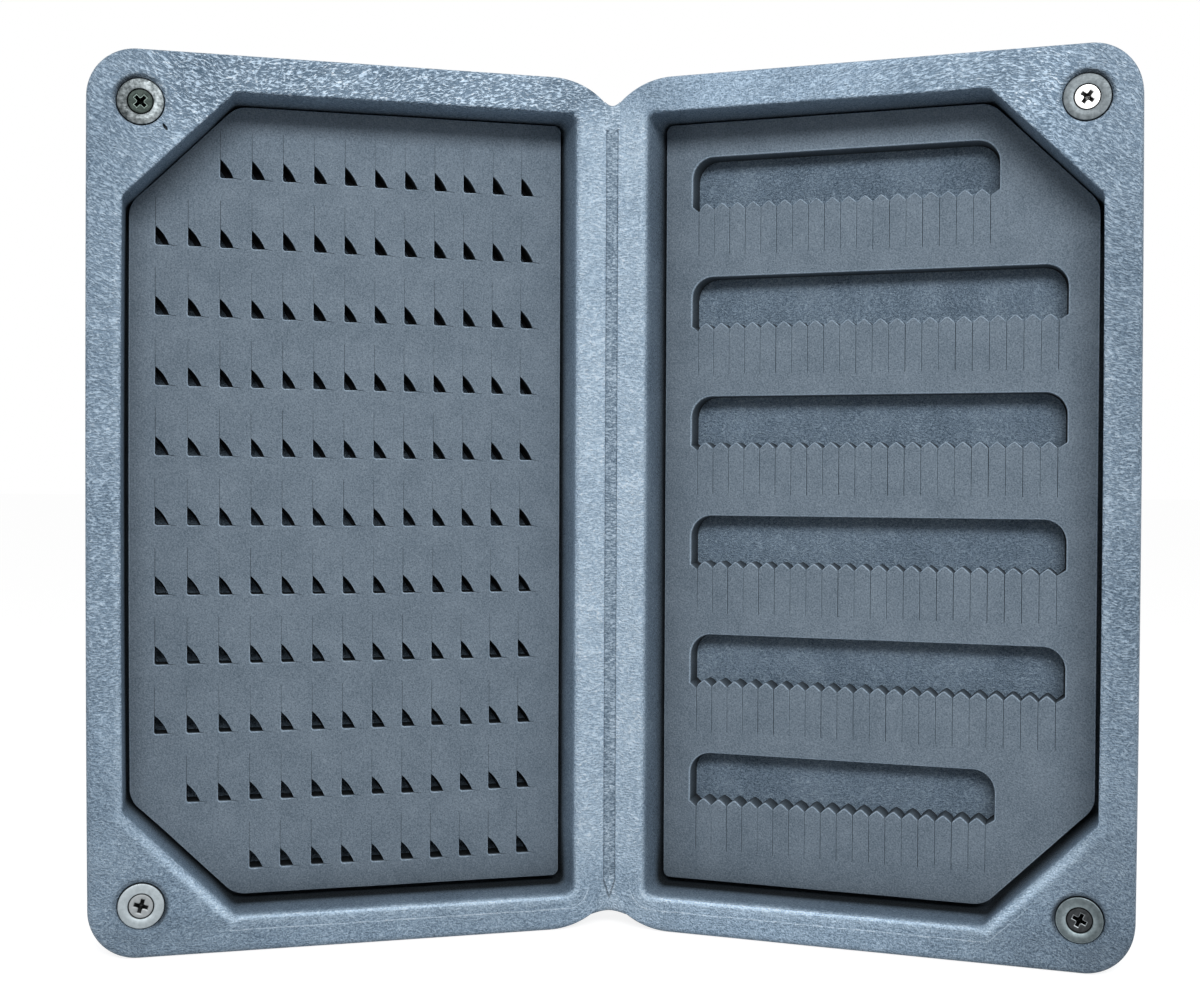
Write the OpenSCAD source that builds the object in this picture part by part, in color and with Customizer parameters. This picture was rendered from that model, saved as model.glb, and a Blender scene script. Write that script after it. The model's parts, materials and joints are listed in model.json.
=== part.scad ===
// Foam fly box, standing open like a book on its short edge.
// Two moulded foam shells meet at a thin foam hinge web. Each shell carries a
// glued slit-foam insert in a recess, and two ring magnets that hold it shut.
//
// Each half is drawn flat: x runs outward from its fold line, y runs from the
// rim (y = 0) to the back, and z runs up the height of the standing box.

/* [Box] */
// Length of the closed box, which is its height as it stands open
box_length = 200; // [170:1:260]
// Width of one half, from its fold line to its outer edge
half_width = 117.3; // [95:0.1:150]
// Foam left behind the insert, the floor of the shell
floor_thickness = 4.1; // [2.5:0.1:8]
// Radius of the two outer corners of a half
outer_corner_radius = 11; // [9:0.5:14]
// Radius of the two corners beside the hinge
hinge_corner_radius = 17.5; // [15:0.5:20]
// Distance from the fold line to the centre of those corners
hinge_corner_inset = 13.5; // [12:0.5:14.5]
// Rounding of the edges round the back
back_edge_radius = 7; // [2:0.5:8.5]
// Rounding of the outer edge of the rim
rim_edge_radius = 1.6; // [0.5:0.1:3]

/* [Opening] */
// Angle between the two rims as the box stands open
opening_angle = 147.5; // [120:0.5:170]

/* [Hinge] */
// Distance between the two fold lines
fold_spacing = 1.8; // [1.5:0.1:2.6]
// Gap that the rims keep when the box is shut
closed_gap = 0.3; // [0.1:0.05:0.5]
// Thickness of the hinge web
web_thickness = 1; // [0.6:0.1:1.2]
// Clearance between the web's round edges and the shells
web_clearance = 0.15; // [0.1:0.05:0.3]
// Distance from the fold line back to the flat spine of a shell
spine_setback = 0.3; // [0.2:0.05:0.5]
// How far the web stops short of the corners of the rims
web_end_inset = 0.5; // [0.3:0.1:3]

/* [Recess] */
// Width of the rim beside the hinge, from the fold line
hinge_rim = 7.6; // [6:0.1:12]
// Width of the rim along the outer edge
outer_rim = 8.2; // [6:0.1:12]
// Width of the rims along the two ends
end_rim = 8.5; // [6:0.1:12]
// Size of the chamfer across the recess's outer corners
recess_chamfer = 24; // [20:0.5:32]
// Radius in the corners of the recess
recess_corner_radius = 2; // [1:0.5:4]
// Depth from the rim to the face of the insert
insert_depth = 14.4; // [9:0.1:20]

/* [Inserts] */
// Thickness of an insert
insert_thickness = 6.3; // [3:0.1:9]
// Gap between an insert and the recess wall
insert_gap = 0.8; // [0.6:0.1:1.5]
// How far the inserts are glued above the middle of the recess
insert_lift = 0.5; // [0:0.1:0.5]
// How much further an insert is cut back at its chamfers than the recess
chamfer_gap = 0.9; // [0:0.1:2]
// Radius of the insert's corners beside the hinge
insert_corner_radius = 1.6; // [1:0.1:4]
// Radius of the insert's corners at the chamfers
insert_chamfer_radius = 6; // [2:0.5:8]
// Thickness of the adhesive sheet behind an insert
adhesive_thickness = 0.2; // [0.1:0.05:0.4]
// Width of a knife slit
slit_width = 0.16; // [0.1:0.02:0.3]
// Least foam between a cut-out and the chamfered edge
chamfer_margin = 2.9; // [2.5:0.1:8]

/* [Slotted insert] */
// Distance between the hook slots along a row
slot_pitch = 7.05; // [5:0.05:12]
// Distance between the rows of hook slots
slot_row_pitch = 15.9; // [12:0.1:24]
// Width of a triangular slot
slot_width = 3; // [2:0.1:4]
// Height of a triangular slot
slot_height = 4.4; // [3:0.1:6]
// Length of the slit above each slot
slot_slit = 6.4; // [3:0.1:7]
// Length of the slit beside each slot's point
slot_side_slit = 2; // [1:0.1:2.8]
// Foam between the hinge edge of the insert and the first slot
slot_hinge_margin = 7.3; // [5:0.1:12]
// Least foam between the last slot and the insert's outer edge
slot_outer_margin = 4.6; // [3:0.1:10]
// Foam below the lowest row of slots
slot_foot_margin = 5.6; // [4:0.1:10]
// Least foam above the slits of the top row
slot_head_margin = 5; // [3:0.1:10]

/* [Windowed insert] */
// Distance between the windows
window_pitch = 28.6; // [26:0.1:40]
// Height of a window, down to the notches of its comb
window_height = 12.5; // [8:0.1:14]
// Radius of a window's upper corners
window_radius = 5; // [2:0.1:6]
// Distance between the slits of the comb
tooth_pitch = 3.78; // [3:0.01:6]
// Height of the round tips of the comb above its notches
tooth_rise = 1.3; // [0.6:0.1:2]
// Length of the slits of the comb
comb_slit = 10.7; // [6:0.1:11.5]
// Distance from a window's end to the first notch
notch_inset = 1.5; // [1:0.1:2.5]
// Foam between the insert's sides and the windows
window_side_margin = 6.6; // [5:0.1:10]
// Foam between the insert's upper edge and the first window
window_head_margin = 7.9; // [6:0.1:14]
// Least foam below the slits of the lowest window
window_foot_margin = 6; // [4:0.1:10]

/* [Magnets] */
// Diameter of a ring magnet
magnet_diameter = 10; // [8:0.5:12]
// Thickness of a ring magnet
magnet_thickness = 3; // [2:0.5:5]
// Distance from the shell's edges to a magnet's centre
magnet_inset = 11.8; // [9:0.1:13]
// How far a magnet's face lies below the rim
magnet_sink = 0.4; // [0.2:0.1:1]
// Clearance round a magnet and round an anchor's collar
pocket_clearance = 0.1; // [0.05:0.05:0.3]

/* [Screws] */
// Diameter of a screw's flat head
head_diameter = 5.5; // [4.5:0.1:6.5]
// Diameter of a screw's shank
screw_diameter = 2.9; // [2.2:0.1:3.5]
// Length of a screw, head included
screw_length = 9.5; // [7:0.5:12]
// How far a head's face lies below the magnet's face
head_sink = 0.15; // [0.05:0.05:0.4]
// Clearance round a screw
screw_clearance = 0.06; // [0.04:0.01:0.15]
// Tip to tip size of the cross recess
cross_span = 2.9; // [2:0.1:3.6]
// Width of an arm of the cross recess
cross_width = 0.75; // [0.5:0.05:1]
// Depth of the cross recess
cross_depth = 1.2; // [0.8:0.1:1.4]
// Diameter of a screw anchor's body
anchor_diameter = 5.2; // [4.6:0.1:6]
// Length of a screw anchor under its collar
anchor_length = 9.5; // [8:0.5:11]
// Diameter of a screw anchor's collar
collar_diameter = 7.6; // [6.6:0.1:8]
// Thickness of a screw anchor's collar
collar_thickness = 1; // [0.6:0.1:1.5]

/* [Hidden] */
$fn = 64;

LEFT = -1;
RIGHT = 1;
tilt = (180 - opening_angle) / 2;
past = 1;
steps = 6;

// Depths below the rim, from the front to the back of a half
adhesive_depth = insert_depth + insert_thickness;
recess_depth = adhesive_depth + adhesive_thickness;
half_thickness = recess_depth + floor_thickness;

// Hinge: the fold lines lie this far below the rims, in round sockets
fold_depth = (fold_spacing - closed_gap) / 2;
socket_radius = web_thickness / 2 + web_clearance;
corner_drop = hinge_corner_radius
    - sqrt(pow(hinge_corner_radius, 2) - pow(hinge_corner_inset - socket_radius, 2));
web_foot = corner_drop + web_end_inset;
web_height = box_length - 2 * web_foot;

// Depth of the standing box, which puts its middle on the origin
front_reach = (half_width - rim_edge_radius) * sin(tilt)
    - (rim_edge_radius - fold_depth) * cos(tilt) + rim_edge_radius;
back_reach = (half_thickness - back_edge_radius - fold_depth) * cos(tilt)
    - (spine_setback + back_edge_radius) * sin(tilt) + back_edge_radius;
fold_y = (front_reach - back_reach) / 2;

// Recess, as distances from the fold line and from the foot
recess_left = hinge_rim;
recess_right = half_width - outer_rim;
recess_foot = end_rim;
recess_head = box_length - end_rim;

// Insert, drawn inside the recess
insert_left = recess_left + insert_gap;
insert_right = recess_right - insert_gap;
insert_foot = recess_foot + insert_gap + insert_lift;
insert_head = recess_head - insert_gap + insert_lift;
insert_chamfer = recess_chamfer + chamfer_gap - insert_gap * (2 - sqrt(2));
upper_limit = insert_right + insert_head - insert_chamfer - chamfer_margin * sqrt(2);
lower_limit = insert_right - insert_foot - insert_chamfer - chamfer_margin * sqrt(2);

// Hook slots: how many columns and rows fit, and where the first one is
slot_start = insert_left + slot_hinge_margin + slot_width;
slot_columns = floor((insert_right - slot_outer_margin - slot_start) / slot_pitch);
slot_foot = insert_foot + slot_foot_margin;
slot_rows = floor((insert_head - slot_head_margin - slot_slit - slot_height - slot_foot)
    / slot_row_pitch);

// Windows: how many fit, and how many teeth each comb has
window_left = insert_left + window_side_margin;
window_right = insert_right - window_side_margin;
window_top = insert_head - window_head_margin;
windows = floor((window_top - window_height - comb_slit - window_foot_margin - insert_foot)
    / window_pitch);

// Fasteners
head_height = (head_diameter - screw_diameter) / 2;
head_depth = magnet_sink + head_sink;
collar_depth = magnet_sink + magnet_thickness;
anchor_depth = collar_depth + collar_thickness;
magnet_u = half_width - magnet_inset;

// Corner of a polygon, rounded with radius r between its neighbours
function unit(v) = v / norm(v);
function wrap(a) = a > 180 ? a - 360 : a < -180 ? a + 360 : a;
function bearing(v) = atan2(v.y, v.x);
function round_corner(before, corner, after, r) =
    let (
        a = unit(before - corner),
        b = unit(after - corner),
        half = acos(a * b) / 2,
        centre = corner + unit(a + b) * r / sin(half),
        start = bearing(corner + a * r / tan(half) - centre),
        turn = wrap(bearing(corner + b * r / tan(half) - centre) - start)
    )
    [for (i = [0:steps]) centre + r * [cos(start + turn * i / steps), sin(start + turn * i / steps)]];
function rounded(points, radii) =
    let (n = len(points))
    [for (i = [0:n - 1]) each round_corner(points[(i + n - 1) % n], points[i], points[(i + 1) % n], radii[i])];

// Outline with two square corners beside the hinge and two chamfered ones
function chamfered(left, right, foot, head, chamfer, hinge_r, chamfer_r) = rounded(
    [
        [left, foot], [right - chamfer, foot], [right, foot + chamfer],
        [right, head - chamfer], [right - chamfer, head], [left, head]
    ],
    [hinge_r, chamfer_r, chamfer_r, chamfer_r, chamfer_r, hinge_r]
);

// Right triangle with its upright leg away from the hinge, a slit above its
// point and a short slit beside its foot
function hook_slot(u, z) = [
    [u, z], [u, z + slot_height + slot_slit],
    [u - slit_width, z + slot_height + slot_slit], [u - slit_width, z + slot_height],
    [u - slot_width, z + slit_width], [u - slot_width - slot_side_slit, z + slit_width],
    [u - slot_width - slot_side_slit, z]
];

// A slot stays out of the chamfered corners of the insert
function slot_fits(u, z) = u + z + slot_height < upper_limit && u - z < lower_limit;

// Round-shouldered window over a comb: notches with a slit below each one,
// and round tips between them
function comb_point(start, z, i) =
    let (rise = tooth_rise * abs(sin(180 * (i % steps) / steps)))
    [start + tooth_pitch * i / steps, z + rise];
function comb_notch(start, z, k) =
    let (u = start + tooth_pitch * k, w = slit_width / 2)
    [[u - w, z], [u - w, z - comb_slit], [u + w, z - comb_slit], [u + w, z]];
function comb(start, z, teeth) = [
    for (i = [0:teeth * steps])
        each (i % steps == 0 && i > 0 && i < teeth * steps)
            ? comb_notch(start, z, i / steps)
            : [comb_point(start, z, i)]
];
function window_teeth(top) =
    let (
        foot = top - window_height - comb_slit,
        end = min(window_right, upper_limit - top, lower_limit + foot)
    )
    floor((end - window_left - 2 * notch_inset) / tooth_pitch);
function comb_window(top) =
    let (
        teeth = window_teeth(top),
        notch_z = top - window_height,
        right = window_left + 2 * notch_inset + teeth * tooth_pitch,
        shoulder = window_radius,
        corner_a = round_corner([right, notch_z], [right, top], [window_left, top], shoulder),
        corner_b = round_corner([right, top], [window_left, top], [window_left, notch_z], shoulder)
    )
    concat(
        [[window_left, notch_z + tooth_rise]],
        comb(window_left + notch_inset, notch_z, teeth),
        [[right, notch_z + tooth_rise]],
        corner_a,
        corner_b
    );

// Puts a flat-drawn half in the standing box, turned about its fold line
module place(side) {
    translate([0, fold_y, 0])
        mirror([side == LEFT ? 1 : 0, 0, 0])
            translate([fold_spacing / 2, 0, 0])
                rotate([0, 0, -tilt])
                    translate([0, -fold_depth, 0])
                        children();
}

// Extrudes an outline, drawn on the rim, between two depths below the rim
module slab(from, to) {
    translate([0, to, 0])
        rotate([90, 0, 0])
            linear_extrude(to - from)
                children();
}

// Stands a turned piece in a half, with its axis running back from a depth
module drilled(z, depth) {
    translate([magnet_u, depth, z])
        rotate([-90, 0, 0])
            children();
}

// Section of a shell's side: its rim edge and its back edge are rounded
module side_section(from, to) {
    back = half_thickness - back_edge_radius;
    intersection() {
        translate([from, 0]) square([to - from, half_thickness]);
        union() {
            translate([from, 0]) square([to - back_edge_radius - from, half_thickness]);
            translate([from, 0]) square([to - rim_edge_radius - from, back]);
            translate([from, rim_edge_radius]) square([to - from, back - rim_edge_radius]);
            translate([to - rim_edge_radius, rim_edge_radius]) circle(rim_edge_radius);
            translate([to - back_edge_radius, back]) circle(back_edge_radius);
        }
    }
}

module shell_corner(u, z, r) {
    translate([u, 0, z])
        rotate([-90, 0, 0])
            rotate_extrude()
                side_section(0, r);
}

// Section through the hinge side: a flat spine with a rounded back edge, and
// a socket for the web's round edge
module spine_section() {
    corner = spine_setback + back_edge_radius;
    difference() {
        union() {
            translate([corner, 0]) square([half_width, half_thickness]);
            translate([spine_setback, 0]) square([half_width, half_thickness - back_edge_radius]);
            translate([corner, half_thickness - back_edge_radius]) circle(back_edge_radius);
        }
        translate([-past, -past]) square([past + socket_radius, past + fold_depth]);
        translate([0, fold_depth]) circle(socket_radius);
    }
}

module shell_body() {
    outer_centre = half_width - outer_corner_radius;
    intersection() {
        union() {
            translate([outer_centre, 0, 0])
                rotate([0, -90, 0])
                    linear_extrude(outer_centre - hinge_corner_inset)
                        translate([box_length / 2, 0]) {
                            side_section(0, box_length / 2);
                            mirror([1, 0]) side_section(0, box_length / 2);
                        }
            translate([0, 0, outer_corner_radius])
                linear_extrude(box_length - 2 * outer_corner_radius)
                    side_section(hinge_corner_inset, half_width);
            translate([0, 0, hinge_corner_radius])
                cube([hinge_corner_inset, half_thickness, box_length - 2 * hinge_corner_radius]);
            for (z = [outer_corner_radius, box_length - outer_corner_radius])
                shell_corner(outer_centre, z, outer_corner_radius);
            for (z = [hinge_corner_radius, box_length - hinge_corner_radius])
                shell_corner(hinge_corner_inset, z, hinge_corner_radius);
        }
        linear_extrude(box_length) spine_section();
    }
}

// Moulded foam shell with its recess, and a stepped bore for each magnet
module shell(side) {
    color([0.53, 0.6, 0.67])
        place(side)
            difference() {
                shell_body();
                slab(-past, recess_depth)
                    polygon(chamfered(recess_left, recess_right, recess_foot, recess_head,
                        recess_chamfer, recess_corner_radius, recess_corner_radius));
                for (z = [magnet_inset, box_length - magnet_inset])
                    drilled(z, 0) magnet_bore();
            }
}

module magnet_bore() {
    translate([0, 0, -past])
        cylinder(d = magnet_diameter + 2 * pocket_clearance, h = past + collar_depth);
    cylinder(d = collar_diameter + 2 * pocket_clearance, h = anchor_depth);
    cylinder(d = anchor_diameter + 2 * pocket_clearance, h = anchor_depth + anchor_length);
}

// Foam strip that folds along both of its round edges
module hinge_web() {
    color([0.49, 0.57, 0.63])
        translate([0, fold_y, web_foot])
            linear_extrude(web_height) {
                square([fold_spacing, web_thickness], center = true);
                for (side = [LEFT, RIGHT])
                    translate([side * fold_spacing / 2, 0]) circle(d = web_thickness);
            }
}

module insert_outline() {
    polygon(chamfered(insert_left, insert_right, insert_foot, insert_head,
        insert_chamfer, insert_corner_radius, insert_chamfer_radius));
}

module slotted_outline() {
    difference() {
        insert_outline();
        for (row = [0:slot_rows], column = [0:slot_columns]) {
            u = slot_start + column * slot_pitch;
            z = slot_foot + row * slot_row_pitch;
            if (slot_fits(u, z)) polygon(hook_slot(u, z));
        }
    }
}

module windowed_outline() {
    difference() {
        insert_outline();
        for (k = [0:windows]) polygon(comb_window(window_top - k * window_pitch));
    }
}

module left_insert() {
    color([0.44, 0.49, 0.54])
        place(LEFT) slab(insert_depth, adhesive_depth) slotted_outline();
}

module right_insert() {
    color([0.44, 0.49, 0.54])
        place(RIGHT) slab(insert_depth, adhesive_depth) windowed_outline();
}

// Adhesive sheets, cut through with the inserts that they hold
module left_adhesive() {
    color([0.85, 0.84, 0.78])
        place(LEFT) slab(adhesive_depth, recess_depth) slotted_outline();
}

module right_adhesive() {
    color([0.85, 0.84, 0.78])
        place(RIGHT) slab(adhesive_depth, recess_depth) windowed_outline();
}

// Ring magnet with a countersunk hole
module magnet() {
    sink = head_sink + screw_clearance;
    color([0.72, 0.74, 0.76])
        difference() {
            cylinder(d = magnet_diameter, h = magnet_thickness);
            translate([0, 0, -past])
                cylinder(d = screw_diameter + 2 * screw_clearance, h = magnet_thickness + 2 * past);
            translate([0, 0, -past])
                cylinder(d1 = head_diameter + 2 * (sink + past), d2 = head_diameter - 2 * (head_height - sink),
                    h = past + head_height);
        }
}

// Flat-head screw with a cross recess and a plain core for its thread
module screw() {
    point = screw_diameter / 2;
    color([0.6, 0.62, 0.62])
        difference() {
            union() {
                cylinder(d1 = head_diameter, d2 = screw_diameter, h = head_height);
                cylinder(d = screw_diameter, h = screw_length - point);
                translate([0, 0, screw_length - point])
                    cylinder(d1 = screw_diameter, d2 = screw_diameter / 5, h = point);
            }
            for (turn = [0, 90])
                rotate([0, 0, turn])
                    translate([-cross_span / 2, -cross_width / 2, -past])
                        cube([cross_span, cross_width, past + cross_depth]);
        }
}

// Nylon anchor set in the foam, which the screw bites into
module anchor() {
    color([0.9, 0.89, 0.84])
        difference() {
            union() {
                cylinder(d = collar_diameter, h = collar_thickness);
                cylinder(d = anchor_diameter, h = collar_thickness + anchor_length);
            }
            translate([0, 0, -past])
                cylinder(d = screw_diameter + 2 * screw_clearance,
                    h = past + screw_length + head_depth - collar_depth + screw_clearance);
        }
}

lower = magnet_inset;
upper = box_length - magnet_inset;

shell(LEFT);  // left_shell
shell(RIGHT);  // right_shell
hinge_web();
left_insert();
right_insert();
left_adhesive();
right_adhesive();
place(LEFT) drilled(upper, magnet_sink) magnet();  // left_upper_magnet
place(LEFT) drilled(lower, magnet_sink) magnet();  // left_lower_magnet
place(RIGHT) drilled(upper, magnet_sink) magnet();  // right_upper_magnet
place(RIGHT) drilled(lower, magnet_sink) magnet();  // right_lower_magnet
place(LEFT) drilled(upper, head_depth) screw();  // left_upper_screw
place(LEFT) drilled(lower, head_depth) screw();  // left_lower_screw
place(RIGHT) drilled(upper, head_depth) screw();  // right_upper_screw
place(RIGHT) drilled(lower, head_depth) screw();  // right_lower_screw
place(LEFT) drilled(upper, collar_depth) anchor();  // left_upper_anchor
place(LEFT) drilled(lower, collar_depth) anchor();  // left_lower_anchor
place(RIGHT) drilled(upper, collar_depth) anchor();  // right_upper_anchor
place(RIGHT) drilled(lower, collar_depth) anchor();  // right_lower_anchor
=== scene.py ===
import json
import math

import bmesh
import bpy
import numpy as np
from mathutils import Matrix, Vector
from mathutils.geometry import delaunay_2d_cdt


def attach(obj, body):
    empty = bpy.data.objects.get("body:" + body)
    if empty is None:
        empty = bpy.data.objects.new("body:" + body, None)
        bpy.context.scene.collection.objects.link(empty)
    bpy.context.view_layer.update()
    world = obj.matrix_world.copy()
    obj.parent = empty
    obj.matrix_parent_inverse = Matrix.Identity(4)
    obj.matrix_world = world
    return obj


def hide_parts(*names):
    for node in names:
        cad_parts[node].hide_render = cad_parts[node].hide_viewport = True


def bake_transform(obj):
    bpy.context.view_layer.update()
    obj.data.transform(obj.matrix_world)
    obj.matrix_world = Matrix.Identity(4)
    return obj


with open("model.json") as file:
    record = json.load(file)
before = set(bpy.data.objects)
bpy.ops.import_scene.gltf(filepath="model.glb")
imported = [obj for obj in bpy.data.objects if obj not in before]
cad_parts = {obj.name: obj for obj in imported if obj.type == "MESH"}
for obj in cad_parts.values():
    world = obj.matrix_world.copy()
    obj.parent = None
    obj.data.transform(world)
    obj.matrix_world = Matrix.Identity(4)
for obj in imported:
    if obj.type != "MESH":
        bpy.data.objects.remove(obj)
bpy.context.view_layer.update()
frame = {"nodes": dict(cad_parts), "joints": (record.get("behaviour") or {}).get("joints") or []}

# Foam shells. Each half of the box is one moulding of closed-cell foam with a
# hard pebbled skin: a rim round a chamfered recess, soft lips and a rounded
# back. The skin is pressed pale beside the hinge and along the lower lips, and
# the lips carry painted highlights.
scene = bpy.context.scene
MM = 0.001
LEFT, RIGHT = -1, 1
SIDES = {LEFT: "left", RIGHT: "right"}
HEIGHT, HALF_WIDTH, THICKNESS = 200.0, 117.3, 25.0
MIDDLE = HEIGHT / 2
OUTER_RADIUS, HINGE_RADIUS, HINGE_CENTRE, SPINE = 11.0, 17.5, 13.5, 0.3
RECESS_LEFT, RECESS_RIGHT, RECESS_FOOT, CHAMFER, RECESS_DEPTH = 7.6, 109.1, 8.5, 24.0, 20.9
RECESS_CORNER, FILLET, RIM_RADIUS, BACK_RADIUS = 2.0, 1.5, 1.6, 7.0
MAGNET_U, MAGNETS = 105.5, {"lower": 11.8, "upper": HEIGHT - 11.8}
NICK_U, NICK_Z = 100.2, 182.85
CREASE = 3.25

fold = next(j for j in frame["joints"] if j["name"] == "right_fold")
fold_x, fold_y = fold["pos_m"][0] / MM, fold["pos_m"][1] / MM
tilt, fold_depth = -math.radians(fold["range_deg"][0]), 0.75


def stand(side, flat):
    """Place in the standing box of a point of a half laid flat: its distance
    from the fold, its depth behind the rim and its height are turned by the
    tilt about the fold line, and mirrored for the left half."""
    u, depth, z = np.moveaxis(np.asarray(flat, float), -1, 0)
    depth = depth - fold_depth
    x = u * math.cos(tilt) + depth * math.sin(tilt) + fold_x
    y = -u * math.sin(tilt) + depth * math.cos(tilt) + fold_y
    return np.stack([side * x, y, z], -1)


def line(a, b, n):
    """n points that go evenly from a to just before b."""
    t = np.arange(n)[:, None] / n
    return np.asarray(a, float) * (1 - t) + np.asarray(b, float) * t


def arc(centre, radius, start, end, n):
    """n points from the start angle to just before the end angle, in degrees,
    at centre plus radius times the angle's cosine and sine."""
    a = np.radians(start + (end - start) * np.arange(n) / n)
    return np.asarray(centre, float) + radius * np.stack([np.cos(a), np.sin(a)], -1)


def both_ends(path):
    """A path from the middle of the spine round the foot to the middle of the
    outer side, closed by its mirror image over the head."""
    head = path[:0:-1].copy()
    head[:, 1] = HEIGHT - head[:, 1]
    return np.concatenate([path, head])


def outer_path(inset):
    """Outline of a half, moved inwards by inset: a spine line, an arc that
    starts where the spine cuts it, the foot line, an arc and the outer line."""
    cut = math.degrees(math.acos((HINGE_CENTRE - SPINE - inset) / (HINGE_RADIUS - inset)))
    start = HINGE_RADIUS - (HINGE_RADIUS - inset) * math.sin(math.radians(cut))
    spine, side, bend = SPINE + inset, HALF_WIDTH - inset, HALF_WIDTH - OUTER_RADIUS
    return both_ends(np.concatenate([
        line([spine, MIDDLE], [spine, 16], 92), line([spine, 16], [spine, start], 14),
        arc([HINGE_CENTRE, HINGE_RADIUS], HINGE_RADIUS - inset, 180 + cut, 270, 26),
        line([HINGE_CENTRE, inset], [18, inset], 6), line([18, inset], [86, inset], 76),
        line([86, inset], [bend, inset], 24),
        arc([bend, OUTER_RADIUS], OUTER_RADIUS - inset, 270, 360, 24),
        line([side, OUTER_RADIUS], [side, 31.5], 24), line([side, 31.5], [side, MIDDLE], 76),
        [[side, MIDDLE]],
    ]))


def recess_path(offset):
    """Outline of the recess, moved outwards by offset, with as many points as
    the outer one: its corners are arcs whose radius grows with it."""
    left, right, foot = RECESS_LEFT - offset, RECESS_RIGHT + offset, RECESS_FOOT - offset
    radius, small = RECESS_CORNER + offset, RECESS_CORNER * math.tan(math.pi / 8)
    corner = [RECESS_LEFT + RECESS_CORNER, RECESS_FOOT + RECESS_CORNER]
    low = [RECESS_RIGHT - CHAMFER - small, corner[1]]
    high = [RECESS_RIGHT - RECESS_CORNER, RECESS_FOOT + CHAMFER + small]
    slope = np.array([math.sin(math.pi / 4), -math.cos(math.pi / 4)]) * radius
    return both_ends(np.concatenate([
        line([left, MIDDLE], [left, 16], 92), line([left, 16], [left, corner[1]], 14),
        arc(corner, radius, 180, 270, 26),
        line([corner[0], foot], [18, foot], 6), line([18, foot], [low[0], foot], 76),
        arc(low, radius, 270, 315, 8), line(low + slope, high + slope, 56),
        arc(high, radius, 315, 360, 8), line([right, high[1]], [right, MIDDLE], 76), [[right, MIDDLE]],
    ]))


def step(low, high, value):
    """0 below low, 1 above high, and a smooth slope between."""
    t = np.clip((value - low) / (high - low), 0, 1)
    return t * t * (3 - 2 * t)


def hill(value):
    """1 at 0, smoothly down to 0 at 1 and at minus 1."""
    return step(1, 0, np.abs(value))


def off_recess(u, z):
    """Distance of a place beyond the recess's outline: that of a rectangle
    with round corners, or of the chamfers where they cut it off."""
    from_middle = np.abs(z - MIDDLE)
    across = np.abs(u - (RECESS_LEFT + RECESS_RIGHT) / 2) - (RECESS_RIGHT - RECESS_LEFT) / 2 + RECESS_CORNER
    along = from_middle - (MIDDLE - RECESS_FOOT) + RECESS_CORNER
    square = np.hypot(np.maximum(across, 0), np.maximum(along, 0)) + np.minimum(np.maximum(across, along), 0)
    cut = (u + from_middle - (RECESS_RIGHT - CHAMFER + MIDDLE - RECESS_FOOT)) / math.sqrt(2)
    return np.maximum(square - RECESS_CORNER, cut)


def bands(rows, count):
    """Four-sided faces between neighbouring rows, each a closed ring of count
    points."""
    i = np.arange(count)
    j, r = (i + 1) % count, np.arange(rows - 1)[:, None] * count
    return np.stack([r + i, r + count + i, r + count + j, r + j], -1).reshape(-1, 4)


def closed_faces(rows, count):
    """Faces of a closed surface whose rows lie between two poles: bands, and
    a fan of triangles at each pole."""
    i = np.arange(count)
    j = (i + 1) % count
    fan = np.column_stack([np.zeros(count, int), 1 + i, 1 + j])
    end = rows * count + 1
    tail = np.column_stack([np.full(count, end), end - count + j, end - count + i])
    return [*map(tuple, fan), *map(tuple, 1 + bands(rows, count)), *map(tuple, tail)]


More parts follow.
